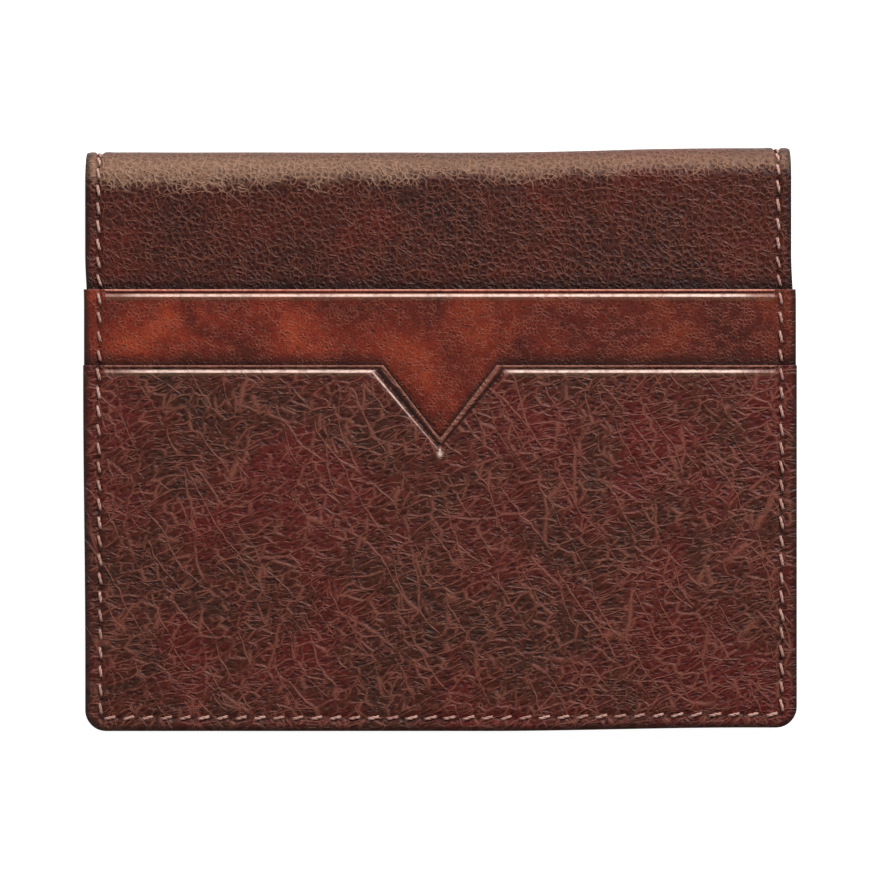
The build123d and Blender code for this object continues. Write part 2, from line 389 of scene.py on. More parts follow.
def sheet(
    half,
    low,
    high,
    thickness,
    place,
    facing=1,
    columns=None,
    rows=COARSE,
    seam_rows=FINE,
    row_values=None,
    corner=CORNER,
    edge=EDGE,
    mouth=False,
    notched=False,
    open_low=False,
    open_high=False,
    seam=NO_SEAM,
    covered_by=None,
    pattern=None,
    seed=1,
    shape=None,
):
    """Makes one sheet of leather, cloth or board, from low to high along s, or adds it to shape.

    Its sides and free edge are rounded, and an open end is cut square to meet its neighbour.
    A mouth's edge has a creased line along it, which follows the notch if there is one.
    covered_by gives how far a point lies above the next panel's mouth, which spaces the painted shade
    there, and pattern where the sheet is cut from the cover's one piece of leather.
    """
    shape = shape or Shape()
    inner = half - edge
    start = low + (0 if open_low else edge)
    blend_from = low + SEAM_ZONE + 0.4
    if columns is None:
        columns = spaced(-inner, (SEAM_ZONE - inner, FINE), (inner - SEAM_ZONE, COARSE), (inner, FINE))
    widths, levels = [], []
    turn_radius = max(corner - edge, 0) if not open_low else 0
    if turn_radius:
        for angle in np.linspace(0, math.pi / 2, 12):
            widths.append(inner - turn_radius * (1 - math.sin(angle)))
            levels.append(start + turn_radius * (1 - math.cos(angle)))
    else:
        widths.append(inner)
        levels.append(start)
    top = high - (CREASE_ZONE if mouth else (0 if open_high else edge))
    if row_values is None:
        row_values = spaced(levels[-1], (blend_from, seam_rows), (top, rows))
    level_rows = list(row_values[1:])
    widths += [inner] * len(level_rows)
    levels += level_rows
    outer_zone = min(8.0, inner / 2)
    x_rows, s_rows, q_rows = [], [], []
    for width, level in zip(widths, levels):
        outside = np.maximum(np.abs(columns) - (inner - outer_zone), 0)
        x = columns - np.sign(columns) * outside * (inner - width) / outer_zone
        s = np.full(x.shape, level)
        q = high - s
        if mouth and level > blend_from:
            t = (level - blend_from) / (top - blend_from)
            s = blend_from + t * (high - mouth_drop(x, CREASE_ZONE, notched) - blend_from)
            q = CREASE_ZONE + (top - level) + 0 * x
        x_rows.append(x)
        s_rows.append(s)
        q_rows.append(q)
    if mouth:
        for q_line in spaced(CREASE_ZONE, (1.6, 0.16), (edge, 0.085))[1:]:
            x_rows.append(columns)
            s_rows.append(high - mouth_drop(columns, q_line, notched))
            q_rows.append(np.full(columns.shape, q_line))
    x, s, q = np.array(x_rows), np.array(s_rows), np.array(q_rows)
    if not mouth:
        q = np.full(q.shape, FAR)
    lines, across = x.shape

    index = np.arange(lines * across).reshape(lines, across)
    corners = (index[:-1, :-1], index[:-1, 1:], index[1:, 1:], index[1:, :-1])
    faces = np.stack([c.ravel() for c in corners], 1).tolist()
    around = np.concatenate([index[0, :-1], index[:-1, -1], index[-1, :0:-1], index[:0:-1, 0]])
    on_top = np.isin(around, index[-1])
    on_low = np.isin(around, index[0])

    x, s, q = x.ravel(), s.ravel(), q.ravel()
    rim = rim_distance(x, s, half, low - (FAR if open_low else 0), 0 if open_low else corner)
    seam_gap = seam.distance(x, s)
    hole = seam.hole(x, s)
    cut_s = s if pattern is None else pattern(s)
    height = relief(x, cut_s, q, rim, seam_gap, hole, seed, 1.0 if mouth else 0.0)
    if notched:
        height += BEAD_HEIGHT * bead(x, s, high)

    outward = miters(np.stack([x[around], s[around]], 1))
    for is_open, end in ((open_high, on_top), (open_low, on_low)):
        if is_open:
            outward[end] = np.where(np.abs(outward[end]) > 0.3, np.sign(outward[end]), 0)
            outward[end, 1] = 0
    back_edge = min(edge, thickness / 2) * 0.5
    turned = min(edge, thickness * 0.6)
    profile = [
        (edge * math.sin(a), turned * (1 - math.cos(a))) for a in np.linspace(0, math.pi / 2, 5)[1:]
    ]
    profile.append((edge, thickness - back_edge))
    profile.append((edge - back_edge, thickness))
    points = [np.stack([x, s, height], 1)]
    fields = {"q": [q], "rim": [rim], "gap": [seam_gap], "hole": [hole], "down": [0 * x]}
    size = lines * across
    previous = around
    for out, down in profile:
        ring_x = x[around] + outward[:, 0] * out
        ring_s = s[around] + outward[:, 1] * out
        kept = max(0.0, 1 - down / thickness)
        ring_h = height[around] * kept - down
        points.append(np.stack([ring_x, ring_s, ring_h], 1))
        beyond = out + down
        fields["q"].append(np.where(on_top & mouth, q[around] - beyond, q[around]))
        past_rim = np.where(on_top & ~on_low & (mouth or open_high), 0, beyond)
        fields["rim"].append(rim[around] - past_rim)
        fields["gap"].append(seam_gap[around])
        fields["hole"].append(hole[around] * kept)
        fields["down"].append(np.full(len(around), down))
        current = np.arange(len(around)) + size
        size += len(around)
        following = np.roll(np.arange(len(around)), -1)
        faces += np.stack([previous, current, current[following], previous[following]], 1).tolist()
        previous = current
    if open_low:
        faces += back_strips(previous, across - 1, lines - 1)
    else:
        faces.append(previous[::-1].tolist())
    if facing < 0:
        faces = [face[::-1] for face in faces]

    flat = np.concatenate(points)
    fields = {name: np.concatenate(blocks) for name, blocks in fields.items()}
    cut_s = flat[:, 1] if pattern is None else pattern(flat[:, 1])
    # distance above the next panel's mouth, for the painted shade there
    painted_shade_gap = np.full(len(flat), FAR)
    if covered_by is not None:
        painted_shade_gap = covered_by(flat[:, 0], flat[:, 1])
    fade = 8 * smooth(np.abs(flat[:, 0]), seam_x - 0.9, seam_x - 0.3)
    values = {
        "skin": np.stack([flat[:, 0], cut_s - fields["down"], np.full(len(flat), 7.0 * seed)], 1),
        "rim": fields["rim"],
        "mouth": fields["q"] + np.where(fields["q"] > -0.05, fade, 0),
        "seam": fields["gap"] + fields["down"],
        "hole": fields["hole"],
        "painted_shade_gap": painted_shade_gap,
        "highlight_strength": crease_highlight_strength(flat[:, 0], fields["q"], notched),
        "left": notched * notch_side(flat[:, 0], fields["q"], -1),
        "right": notched * notch_side(flat[:, 0], fields["q"], 1),
        "bead": bead(flat[:, 0], flat[:, 1], high) if notched else np.zeros(len(flat)),
    }
    shape.add(place(flat[:, 0], flat[:, 1], flat[:, 2]), faces, values)
    return shape


def thread(seam, place, facing, seed, pattern=None, shape=None):
    """A seam's two-ply stitches. Each rises from one hole and dives into the next."""
    shape = shape or Shape()
    draw = np.random.default_rng(seed)
    rings, sides, plies = 15, 12, 2
    along = np.linspace(-1, 1, rings)[:, None]
    round_ = np.linspace(0, 2 * math.pi, sides, endpoint=False)[None, :]
    for x, s, angle in seam.stitches:
        angle += math.radians(draw.normal(0, 2.0))
        length = STITCH_LENGTH * draw.uniform(0.97, 1.08)
        twist = 2 * math.pi * draw.uniform(1.15, 1.35)
        phase = draw.uniform(0, 2 * math.pi)
        lift = draw.normal(0.0, 0.012)
        lobes = 1 + 0.13 * np.cos(plies * (round_ - twist * along / 2) + phase)
        taper = np.sqrt(np.clip(1 - 0.55 * np.abs(along) ** 5, 0.2, 1))
        radius = THREAD_RADIUS * draw.uniform(0.95, 1.05) * lobes * taper
        cut_s = s if pattern is None else pattern(s)
        sunk_by = SUNK * to_back(cut_s) + THREAD_DIVE * np.abs(along) ** 3.2
        middle = THREAD_RISE + lift - sunk_by
        sideways = radius * np.cos(round_)
        upward = middle + radius * np.sin(round_) * 0.9
        forward = along * length / 2 + 0 * round_
        point_x = x + forward * math.cos(angle) - sideways * math.sin(angle)
        point_s = s + forward * math.sin(angle) + sideways * math.cos(angle)
        index = np.arange(rings * sides).reshape(rings, sides)
        turned = np.roll(index, -1, 1)
        quads = np.stack([index[:-1], turned[:-1], turned[1:], index[1:]], -1).reshape(-1, 4)
        faces = quads.tolist()
        faces.append(index[0][::-1].tolist())
        faces.append(index[-1].tolist())
        if facing < 0:
            faces = [face[::-1] for face in faces]
        points = place(point_x.ravel(), point_s.ravel(), upward.ravel())
        at = forward.ravel() + 10 * draw.uniform()
        ply = (round_ - twist * along / 2).ravel()
        strand = np.stack([at, ply, np.full(rings * sides, draw.uniform())], 1)
        sunk = np.repeat(np.abs(along[:, 0]), sides)
        shape.add(points, faces, {"strand": strand, "sunk": sunk})
    return shape


# ---- materials ----


def colour(red, green, blue):
    """A colour given as it looks on a screen, 0 to 255, as a shader takes it."""
    return tuple(((c / 255 + 0.055) / 1.055) ** 2.4 for c in (red, green, blue)) + (1.0,)


materials = {}              # each by its name, which is also the name of its slot


class Paint:
    """A material's nodes. Each call adds one node and gives back its output socket."""

    def __init__(self, name):
        self.material = bpy.data.materials.new(name)
        materials[name] = self.material
        self.material.use_nodes = True
        self.tree = self.material.node_tree
        self.tree.nodes.clear()

    def add(self, kind, inputs, output=0, **settings):
        node = self.tree.nodes.new(kind)
        for name, value in settings.items():
            setattr(node, name, value)
        for key, value in inputs.items():
            if isinstance(value, bpy.types.NodeSocket):
                self.tree.links.new(value, node.inputs[key])
            else:
                node.inputs[key].default_value = value
        return node.outputs[output]

    def value(self, name):
        """A value stored on the mesh."""
        return self.add("ShaderNodeAttribute", {}, "Fac", attribute_name=name)

    def place(self, name):
        """A position stored on the mesh."""
        return self.add("ShaderNodeAttribute", {}, "Vector", attribute_name=name)

    def math(self, operation, a, b=0.0, clamp=False):
        return self.add("ShaderNodeMath", {0: a, 1: b}, operation=operation, use_clamp=clamp)

    def times(self, a, b):
        return self.math("MULTIPLY", a, b)

    def plus(self, a, b):
        return self.math("ADD", a, b)

    def less(self, a, b):
        return self.math("SUBTRACT", a, b)

    def most(self, a, b):
        return self.math("MAXIMUM", a, b)

    def part(self, where, axis):
        """One coordinate of a position."""
        return self.add("ShaderNodeSeparateXYZ", {0: where}, axis)

    def between(self, value, low, high, start=0.0, end=1.0):
        """start below low, end above high, and an S-curve in between."""
        inputs = {"Value": value, "From Min": low, "From Max": high, "To Min": start, "To Max": end}
        return self.add("ShaderNodeMapRange", inputs, interpolation_type="SMOOTHSTEP")

    def band(self, value, low, high, soft):
        """1 from low to high, falling off over soft on either side."""
        rise = self.between(value, low - soft, low + soft)
        fall = self.between(value, high - soft, high + soft, 1.0, 0.0)
        return self.times(rise, fall)

    def mix(self, amount, a, b):
        return self.add("ShaderNodeMix", {0: amount, 6: a, 7: b}, 2, data_type="RGBA")

    def tint(self, base, shade, value, low, high, start, end):
        """base mixed with a shade: by start where the value is low, and by end where it is high."""
        return self.mix(self.between(value, low, high, start, end), base, shade)

    def ramp(self, value, stops):
        """A colour for each value: stops are (value, colour)."""
        node = self.tree.nodes.new("ShaderNodeValToRGB")
        self.tree.links.new(value, node.inputs[0])
        elements = node.color_ramp.elements
        while len(elements) < len(stops):
            elements.new(0.5)
        for element, (position, shade) in zip(elements, stops):
            element.position = position
            element.color = shade
        return node.outputs[0]

    def noise(self, where, scale, detail=2.0, roughness=0.5, distortion=0.0, output=0):
        inputs = {"Vector": where, "Scale": scale, "Detail": detail}
        inputs.update({"Roughness": roughness, "Distortion": distortion})
        return self.add("ShaderNodeTexNoise", inputs, output)

    def cells(self, where, scale, feature):
        options = {"feature": feature, "voronoi_dimensions": "2D"}
        return self.add("ShaderNodeTexVoronoi", {"Vector": where, "Scale": scale}, **options)

    def turn(self, where, degrees, stretch):
        """where, turned and then squeezed along its first axis, so that cells grow long."""
        rotation = (0, 0, math.radians(-degrees))
        turned = self.add("ShaderNodeMapping", {"Vector": where, "Rotation": rotation})
        return self.add("ShaderNodeMapping", {"Vector": turned, "Scale": (1 / stretch, 1, 1)})

    def vector(self, operation, a, inputs):
        return self.add("ShaderNodeVectorMath", {0: a, **inputs}, operation=operation)

    def warp(self, where, scale, amount):
        """where, pushed about by noise by up to about amount."""
        push = self.noise(where, scale, output=1)
        centred = self.vector("SUBTRACT", push, {1: (0.5, 0.5, 0.5)})
        return self.vector("ADD", where, {1: self.vector("SCALE", centred, {"Scale": 2 * amount})})

    def bump(self, height, distance):
        return self.add("ShaderNodeBump", {"Height": height, "Distance": distance, "Strength": 1.0})

    def finish(self, base, roughness, normal, **constants):
        """The shader itself. Constants are set on its own sockets."""
        shader = self.tree.nodes.new("ShaderNodeBsdfPrincipled")
        self.tree.links.new(base, shader.inputs["Base Color"])
        self.tree.links.new(roughness, shader.inputs["Roughness"])
        self.tree.links.new(normal, shader.inputs["Normal"])
        for name, value in constants.items():
            shader.inputs[name.replace("_", " ")].default_value = value
        end = self.tree.nodes.new("ShaderNodeOutputMaterial")
        self.tree.links.new(shader.outputs[0], end.inputs[0])


# The first colour is the leather's darkest dye and also its painted shade in holes, beside creases and
# under mouths; the second is the burnished edges' colour and also the painted shade in seam grooves.
BLACK_DYE_AND_SHADE = colour(22, 10, 8)
BURNISH_AND_GROOVE_SHADE = colour(34, 16, 12)
# A painted highlight on a creased line; a mouth's lip colours, its own edge colour lightened by painted
# highlight; and painted soft light on the swell below a crease.
CREASE_HIGHLIGHT = colour(222, 190, 176)
BRIGHT_LIP = colour(196, 126, 108)
DULL_LIP = colour(128, 82, 68)
SWELL_LIGHT_OLIVE = colour(92, 70, 50)

# Painted light and shade along a mouth, in from its edge: the lip with its painted highlight, a painted
# shadow in the crease's groove, the painted highlight on the creased line, and painted soft light on the
# swell below it. Each is (from, to, softness) along the level part, then down the left and down the
# right side of the notch, which differ because the light falls from the upper right.
LIP = ((-0.16, 0.26, 0.08), (-0.16, 0.26, 0.08), (-0.16, 0.4, 0.06))
SHADOW = ((0.42, 0.54, 0.08), (0.42, 0.68, 0.07), (0.5, 0.68, 0.07))
CREASE_HIGHLIGHT_BAND = ((0.68, 1.08, 0.1), (0.84, 0.93, 0.06), None)
SWELL_LIGHT_BAND = ((1.2, 1.6, 0.2), None, None)


def work_and_paint_light(paint, where, base, ground_height, lip_colour):
    """What the maker does to any leather: burnished rims, creased mouths, pricked seams; with painted
    shade in stitch holes, seam grooves, creases and under the next panel's mouth, and painted highlights
    and soft light along each mouth.
    """
    rim, mouth = paint.value("rim"), paint.value("mouth")
    seam, hole, painted_shade_gap = paint.value("seam"), paint.value("hole"), paint.value("painted_shade_gap")
    highlight_strength, bead_highlight = paint.value("highlight_strength"), paint.value("bead")
    uneven = paint.noise(where, 1.3, 3.0)

    worn_rim = paint.plus(rim, paint.times(uneven, -0.8))
    burnished = paint.between(worn_rim, -0.15, 0.7, 0.8, 0.0)
    base = paint.mix(burnished, base, BURNISH_AND_GROOVE_SHADE)

    # painted shade on the leather just above the next panel's mouth, fading over about 2.4 mm
    base = paint.tint(base, BLACK_DYE_AND_SHADE, painted_shade_gap, 0.0, 2.4, 0.75, 0.0)
    base = paint.tint(base, BLACK_DYE_AND_SHADE, painted_shade_gap, 0.05, 0.35, 0.6, 0.0)
    # painted shade along the seam's groove
    base = paint.tint(base, BURNISH_AND_GROOVE_SHADE, seam, 0.1, 0.6, 0.25, 0.0)
    # painted shade in each stitch hole
    base = paint.tint(base, BLACK_DYE_AND_SHADE, hole, 0.35, 0.8, 0.0, 0.85)

    left, right = paint.value("left"), paint.value("right")

    def along_mouth(bands):
        """A band that lies differently along the mouth and down the two sides of its notch."""
        straight, on_left, on_right = (paint.band(mouth, *b) if b else 0.0 for b in bands)
        level = paint.math("SUBTRACT", 1.0, paint.plus(left, right), True)
        slanting = paint.plus(paint.times(on_left, left), paint.times(on_right, right))
        return paint.plus(paint.times(straight, level), slanting)

    patchy = paint.between(uneven, 0.32, 0.6, 0.6, 1.0)
    # painted highlight along the creased line
    line = paint.times(along_mouth(CREASE_HIGHLIGHT_BAND), paint.times(patchy, highlight_strength))
    shadow = along_mouth(SHADOW)
    lip = paint.times(along_mouth(LIP), patchy)
    soft = along_mouth(SWELL_LIGHT_BAND)
    # painted soft light on the swell, then painted shadow in the crease, then the lip's edge colour with
    # its painted highlight
    base = paint.mix(paint.times(soft, 0.45), base, SWELL_LIGHT_OLIVE)
    base = paint.mix(paint.times(shadow, 0.85), base, BLACK_DYE_AND_SHADE)
    base = paint.mix(paint.times(lip, 0.9), base, lip_colour)
    # the bead under the notch's tip gets the same painted highlight as the crease
    line = paint.most(paint.times(line, 0.92), bead_highlight)
    base = paint.mix(line, base, CREASE_HIGHLIGHT)
    worked = paint.most(line, paint.times(burnished, 0.5))
    calm = paint.less(1.0, paint.most(worked, shadow))
    height = paint.times(ground_height, calm)
    return base, height, worked, uneven


def leather(name, ground, veins, vein_colour, vein_amount, depth, gloss, lip, fold_highlight_paint=None):
    """Dyed and waxed leather. ground and veins are functions that draw the dye and the grain."""
    paint = Paint(name)
    where = paint.place("skin")
    base = ground(paint, where)
    line, pit = veins(paint, where)
    pit = paint.times(pit, paint.less(1.0, line))
    base = paint.mix(paint.times(line, vein_amount), base, vein_colour)
    fine = paint.noise(where, 4.2, 3.0, 0.6)
    pore = paint.most(paint.between(fine, 0.36, 0.49, 0.6, 0.0), paint.times(pit, 0.6))
    base = paint.mix(pore, base, BLACK_DYE_AND_SHADE)
    # a painted highlight along the fold, on the cover only
    if fold_highlight_paint:
        base = fold_highlight_paint(paint, where, base, line, pore)
    grain = paint.plus(paint.less(line, pit), paint.times(fine, 0.3))
    base, grain, worked, uneven = work_and_paint_light(paint, where, base, grain, lip)
    rough = paint.between(uneven, 0.3, 0.7, gloss - 0.06, gloss + 0.08)
    rough = paint.less(rough, paint.times(worked, 0.2))
    normal = paint.bump(grain, depth)
    paint.finish(base, rough, normal, Specular_IOR_Level=0.18)


def nets(paint, where, kinds, patched):
    """Nets of lines of even width laid over each other, each coming and going in soft patches.

    A kind is (degrees, stretch, scale, width, seed) and its patches' (scale, low, high, least,
    most). The seed moves a net to a fresh part of the plane. where is bent, and patched isn't.
    """
    line = 0.0
    for (degrees, stretch, scale, width, seed), (size, low, high, least, most) in kinds:
        turned = paint.turn(where, degrees, stretch)
        moved = paint.vector("ADD", turned, {1: (seed, 1.7 * seed, 0)})
        gap = paint.cells(moved, scale, "DISTANCE_TO_EDGE")
        net = paint.between(gap, 0.0, width * scale, 1.0, 0.0)
        patch = paint.between(paint.noise(patched, size), low, high, least, most)
        line = paint.most(paint.times(net, patch), line)
    return line


COVER_NETS = (
    ((0, 1, 1.15, 0.2, 0), (0.55, 0.38, 0.6, 0.2, 0.95)),
    ((0, 1, 0.55, 0.24, 23), (0.4, 0.42, 0.56, 0.2, 1.0)),
)
CRACKLE_NETS = (
    ((15, 2.2, 0.66, 0.23, 11), (0.35, 0.4, 0.58, 0.2, 0.95)),   # wrinkles
    ((10, 1.9, 1.1, 0.17, 37), (0.6, 0.42, 0.6, 0.1, 0.7)),      # finer ones between them
    ((26, 3.0, 0.5, 0.2, 71), (0.28, 0.46, 0.58, 0.0, 0.9)),     # longer ones across them
    ((-60, 5.0, 0.3, 0.2, 53), (0.2, 0.42, 0.54, 0.15, 1.0)),    # long steep ones
)
FINE_NETS = (((0, 1, 1.7, 0.2, 0), (0.9, 0.38, 0.62, 0.1, 0.9)),)


def network(paint, where):
    """The pebbled grain of the cover: dark pits in a soft net of raised lines."""
    bent = paint.warp(where, 0.8, 0.4)
    pit = paint.between(paint.cells(bent, 1.15, "F1"), 0.06, 0.42, 0.65, 0.0)
    return nets(paint, bent, COVER_NETS, where), pit


def crackle(paint, where):
    """The notched pocket's crackle: wrinkles that rise to the right, and long steep ones."""
    bent = paint.warp(paint.warp(where, 0.1, 2.2), 0.55, 0.32)
    pebble = paint.cells(paint.turn(bent, 12, 1.7), 1.3, "F1")
    pit = paint.between(pebble, 0.05, 0.42, 0.85, 0.0)
    return nets(paint, bent, CRACKLE_NETS, where), pit


def fine_grain(paint, where):
    """The close, mottled grain of the rear pocket and of the inside."""
    pit = paint.between(paint.noise(where, 2.1), 0.32, 0.46, 0.75, 0.0)
    return nets(paint, paint.warp(where, 1.1, 0.3), FINE_NETS, where), pit


def dye(clouds, shades, mottle, darkest, to_right=None):
    """A dye that goes on in clouds of several shades, over a fine dark mottle.

    clouds is (scale, roughness, distortion), mottle is (scale, roughness), and darkest is (from, to,
    amount). to_right, with the same three, makes the colour darker towards the right.
    """

    def draw(paint, where):
        scale, roughness, distortion = clouds
        cloud = paint.noise(where, scale, 4.0, roughness, distortion)
        base = paint.ramp(cloud, [(at, colour(*shade)) for at, shade in shades])
        speckle = paint.noise(where, mottle[0], 4.0, mottle[1])
        base = paint.tint(base, BLACK_DYE_AND_SHADE, speckle, *darkest, 0.0)
        if to_right:
            low, high, amount = to_right
            base = paint.tint(base, BLACK_DYE_AND_SHADE, paint.part(where, 0), low, high, 0.0, amount)
        return base

    return draw


def painted_fold_highlight(paint, where, base, line, pore):
    """A painted highlight on the fold's roll, in tan, strongest towards the left, with the grain's low
    spots left darker.
    """
    across = paint.part(where, 0)
    along = paint.part(where, 1)
    wobble = paint.times(paint.less(paint.noise(where, 0.13, 3.0), 0.5), 5.0)
    from_crown = paint.math("ABSOLUTE", paint.less(along, crown_s))
    slant = paint.times(across, 0.022)
    low_spots = paint.times(paint.less(pore, line), 1.3)
    reach = paint.plus(paint.plus(from_crown, slant), paint.plus(wobble, low_spots))
    lit_band = paint.between(reach, 5.2, 7.6, 1.0, 0.0)
    leftward = paint.between(across, -50.0, 40.0, 0.97, 0.64)
    on_top = paint.between(from_crown, 2.0, 4.4, 0.4, 1.0)
    amount = paint.times(paint.times(lit_band, leftward), on_top)
    tan = paint.mix(line, colour(129, 96, 76), colour(148, 114, 93))
    tan = paint.mix(pore, tan, colour(60, 36, 26))
    return paint.mix(paint.times(amount, 0.88), base, tan)


def woven_cloth(name):
    """A plain weave of fine brown threads."""
    paint = Paint(name)
    where = paint.place("skin")
    uneven = paint.warp(where, 0.5, 0.06)
    across = paint.part(uneven, 0)
    along = paint.part(uneven, 1)
    frequency = 2 * math.pi / 0.42
    warp_wave = paint.math("SINE", paint.times(across, frequency))
    weft_wave = paint.math("SINE", paint.times(along, frequency))
    over = paint.times(warp_wave, weft_wave)
    height = paint.between(over, -1.0, 1.0)
    tone = paint.noise(where, 0.6, 4.0, 0.6)
    base = paint.ramp(tone, [(0.3, colour(70, 48, 38)), (0.7, colour(98, 68, 54))])
    base = paint.mix(paint.times(height, 0.45), base, colour(130, 96, 78))
    slubs = paint.noise(paint.turn(where, 0, 9), 2.2, 2.0)
    base = paint.tint(base, colour(52, 34, 27), slubs, 0.55, 0.75, 0.0, 0.4)
    rough = paint.between(tone, 0.3, 0.7, 0.78, 0.9)
    paint.finish(base, rough, paint.bump(height, 0.00009), Sheen_Weight=0.25)


def fibre_board(name):
    """Pressed grey-brown fibre board, seen only at its cut edges."""
    paint = Paint(name)
    where = paint.place("skin")
    fibres = paint.noise(paint.turn(paint.warp(where, 0.4, 1.5), 20, 6), 3.2, 4.0, 0.6)
    specks = paint.between(paint.noise(where, 5.0, 3.0), 0.58, 0.72)
    base = paint.ramp(fibres, [(0.3, colour(104, 94, 82)), (0.7, colour(150, 138, 122))])
    base = paint.mix(paint.times(specks, 0.5), base, colour(70, 58, 48))
    rough = paint.between(fibres, 0.3, 0.7, 0.85, 0.95)
    paint.finish(base, rough, paint.bump(fibres, 0.0001), Specular_IOR_Level=0.25)


def waxed_thread(name):
    """Pinkish beige two-ply thread, with painted shade between its plies and where it goes into its
    hole.
    """
    paint = Paint(name)
    strand = paint.place("strand")
    ply = paint.part(strand, 1)
    own = paint.part(strand, 2)
    groove = paint.math("COSINE", paint.times(ply, 2.0))
    fibres = paint.noise(paint.turn(strand, 0, 0.25), 9.0, 3.0, 0.6)
    base = paint.mix(own, colour(162, 114, 100), colour(194, 150, 136))
    # painted shade in the groove between the plies
    base = paint.tint(base, colour(112, 68, 58), groove, -0.9, -0.1, 0.45, 0.0)
    base = paint.tint(base, colour(150, 104, 92), fibres, 0.4, 0.65, 0.3, 0.0)
    # painted shade where the stitch dives into its hole
    base = paint.tint(base, colour(78, 42, 34), paint.value("sunk"), 0.72, 1.0, 0.0, 0.75)
    height = paint.plus(paint.times(fibres, 0.5), paint.between(groove, -1.0, 0.2))
    rough = paint.between(fibres, 0.3, 0.7, 0.5, 0.66)
    paint.finish(base, rough, paint.bump(height, 0.00005), Sheen_Weight=0.15)


cover_dye = dye(
    (0.085, 0.55, 0.6),
    [(0.3, (42, 14, 9)), (0.45, (57, 19, 12)), (0.58, (70, 22, 14)), (0.72, (86, 23, 16))],
    (1.7, 0.6),
    (0.35, 0.65, 0.3),
)
notched_dye = dye(
    (0.07, 0.6, 0.8),
    [(0.3, (54, 28, 17)), (0.44, (66, 26, 16)), (0.56, (80, 23, 17)), (0.7, (90, 21, 18))],
    (1.3, 0.65),
    (0.36, 0.62, 0.32),
)
rear_dye = dye(
    (0.11, 0.55, 0.8),
    [(0.28, (72, 21, 12)), (0.43, (100, 31, 18)), (0.56, (120, 39, 22)), (0.7, (146, 57, 31))],
    (2.2, 0.65),
    (0.35, 0.62, 0.3),
    to_right=(-24.0, 36.0, 0.46),
)
inner_dye = dye(
    (0.1, 0.55, 0.5),
    [(0.3, (70, 36, 28)), (0.5, (88, 46, 36)), (0.7, (104, 56, 42))],
    (2.0, 0.6),
    (0.35, 0.62, 0.25),
)

leather(
    "cover_leather",
    cover_dye,
    network,
    vein_colour=colour(104, 55, 40),
    vein_amount=0.7,
    depth=0.0001,
    gloss=0.5,
    lip=DULL_LIP,
    fold_highlight_paint=painted_fold_highlight,
)
leather(
    "notched_pocket_leather",
    notched_dye,
    crackle,
    vein_colour=colour(132, 77, 62),
    vein_amount=0.64,
    depth=0.00011,
    gloss=0.5,
    lip=DULL_LIP,
)
leather(
    "rear_pocket_leather",
    rear_dye,
    fine_grain,
    vein_colour=colour(150, 78, 56),
    vein_amount=0.36,
    depth=0.00005,
    gloss=0.46,
    lip=BRIGHT_LIP,
)
leather(
    "inner_leather",
    inner_dye,
    fine_grain,
    vein_colour=colour(122, 72, 54),
    vein_amount=0.45,
    depth=0.00005,
    gloss=0.5,
    lip=DULL_LIP,
)
woven_cloth("lining_cloth")
fibre_board("stiffener_board")
waxed_thread("thread")


# ---- pieces ----


def finish_piece(shape, node, slot, body=None, suffix=""):
    """Makes the piece that stands for a CAD node, riding on that node's body."""
    piece = shape.build(f"{node}{suffix}_piece", materials[slot])
    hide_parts(node)
    if body:
        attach(piece, body)
    return piece


def above(mouth, notched=False):
    """How far a point is above the next panel's mouth, measured across that mouth's edge, for the
    painted shade under that edge.
    """
    lean = math.cos(math.atan(NOTCH_DEPTH / NOTCH_HALF_WIDTH))

    def gap(x, s):
        up = s - (mouth - mouth_drop(x, 0.0, notched))
        in_notch = notched & (np.abs(x) < NOTCH_HALF_WIDTH)
        return np.where(in_notch, 2.2 * up * lean, up)

    return gap


def back_pattern(s):
    """Where the back cover lies in the cover's one piece of leather."""
    return back_s + (spine_y - s)


def notch_columns(half):
    """Columns that are close together near the seams and across the notch."""
    inner = half - EDGE
    beside = NOTCH_HALF_WIDTH + 4.5
    notch = [(at, MEDIUM) for at in (-NOTCH_HALF_WIDTH, 0, NOTCH_HALF_WIDTH, beside)]
    stretches = [(SEAM_ZONE - inner, FINE), (-beside, COARSE), *notch]
    return spaced(-inner, *stretches, (inner - SEAM_ZONE, COARSE), (inner, FINE))


def plain_columns(half, edge, step=2.0):
    """Widely spaced columns, for a sheet that shows only at its edges."""
    inner = half - edge
    return spaced(-inner, (3.0 - inner, 0.5), (inner - 3.0, step), (inner, 0.5))


def level_sheet(node, facing=1, **options):
    """A level sheet as large and as thick as a CAD node."""
    low, high = limits(node)
    place = on_face(high[2] if facing > 0 else low[2], facing)
    return sheet(high[0], low[1], high[1], high[2] - low[2], place, facing, **options)


# The front cover shows only above the rear pocket's mouth.
cover_seam = Seam().sides(rear_mouth, spine_y, reach_high=REACH)
front_cover = level_sheet(
    "front_cover",
    row_values=spaced(
        free_y + CORNER,
        (rear_mouth - 3, 2.0),
        (rear_mouth - 1, 0.5),
        (spine_y - SLIVER, 0.3),
        (spine_y, SLIVER),
    ),
    open_high=True,
    seam=cover_seam,
    covered_by=above(rear_mouth),
)
finish_piece(front_cover, "front_cover", "cover_leather", "front_half")

back_seam = Seam().sides(seam_y, spine_y, reach_high=REACH).foot()
back_cover = level_sheet(
    "back_cover",
    -1,
    row_values=spaced(
        free_y + CORNER,
        (free_y + SEAM_ZONE + 0.4, FINE),
        (spine_y - SLIVER, COARSE),
        (spine_y, SLIVER),
    ),
    open_high=True,
    seam=back_seam,
    pattern=back_pattern,
)
finish_piece(back_cover, "back_cover", "cover_leather", "back_half")

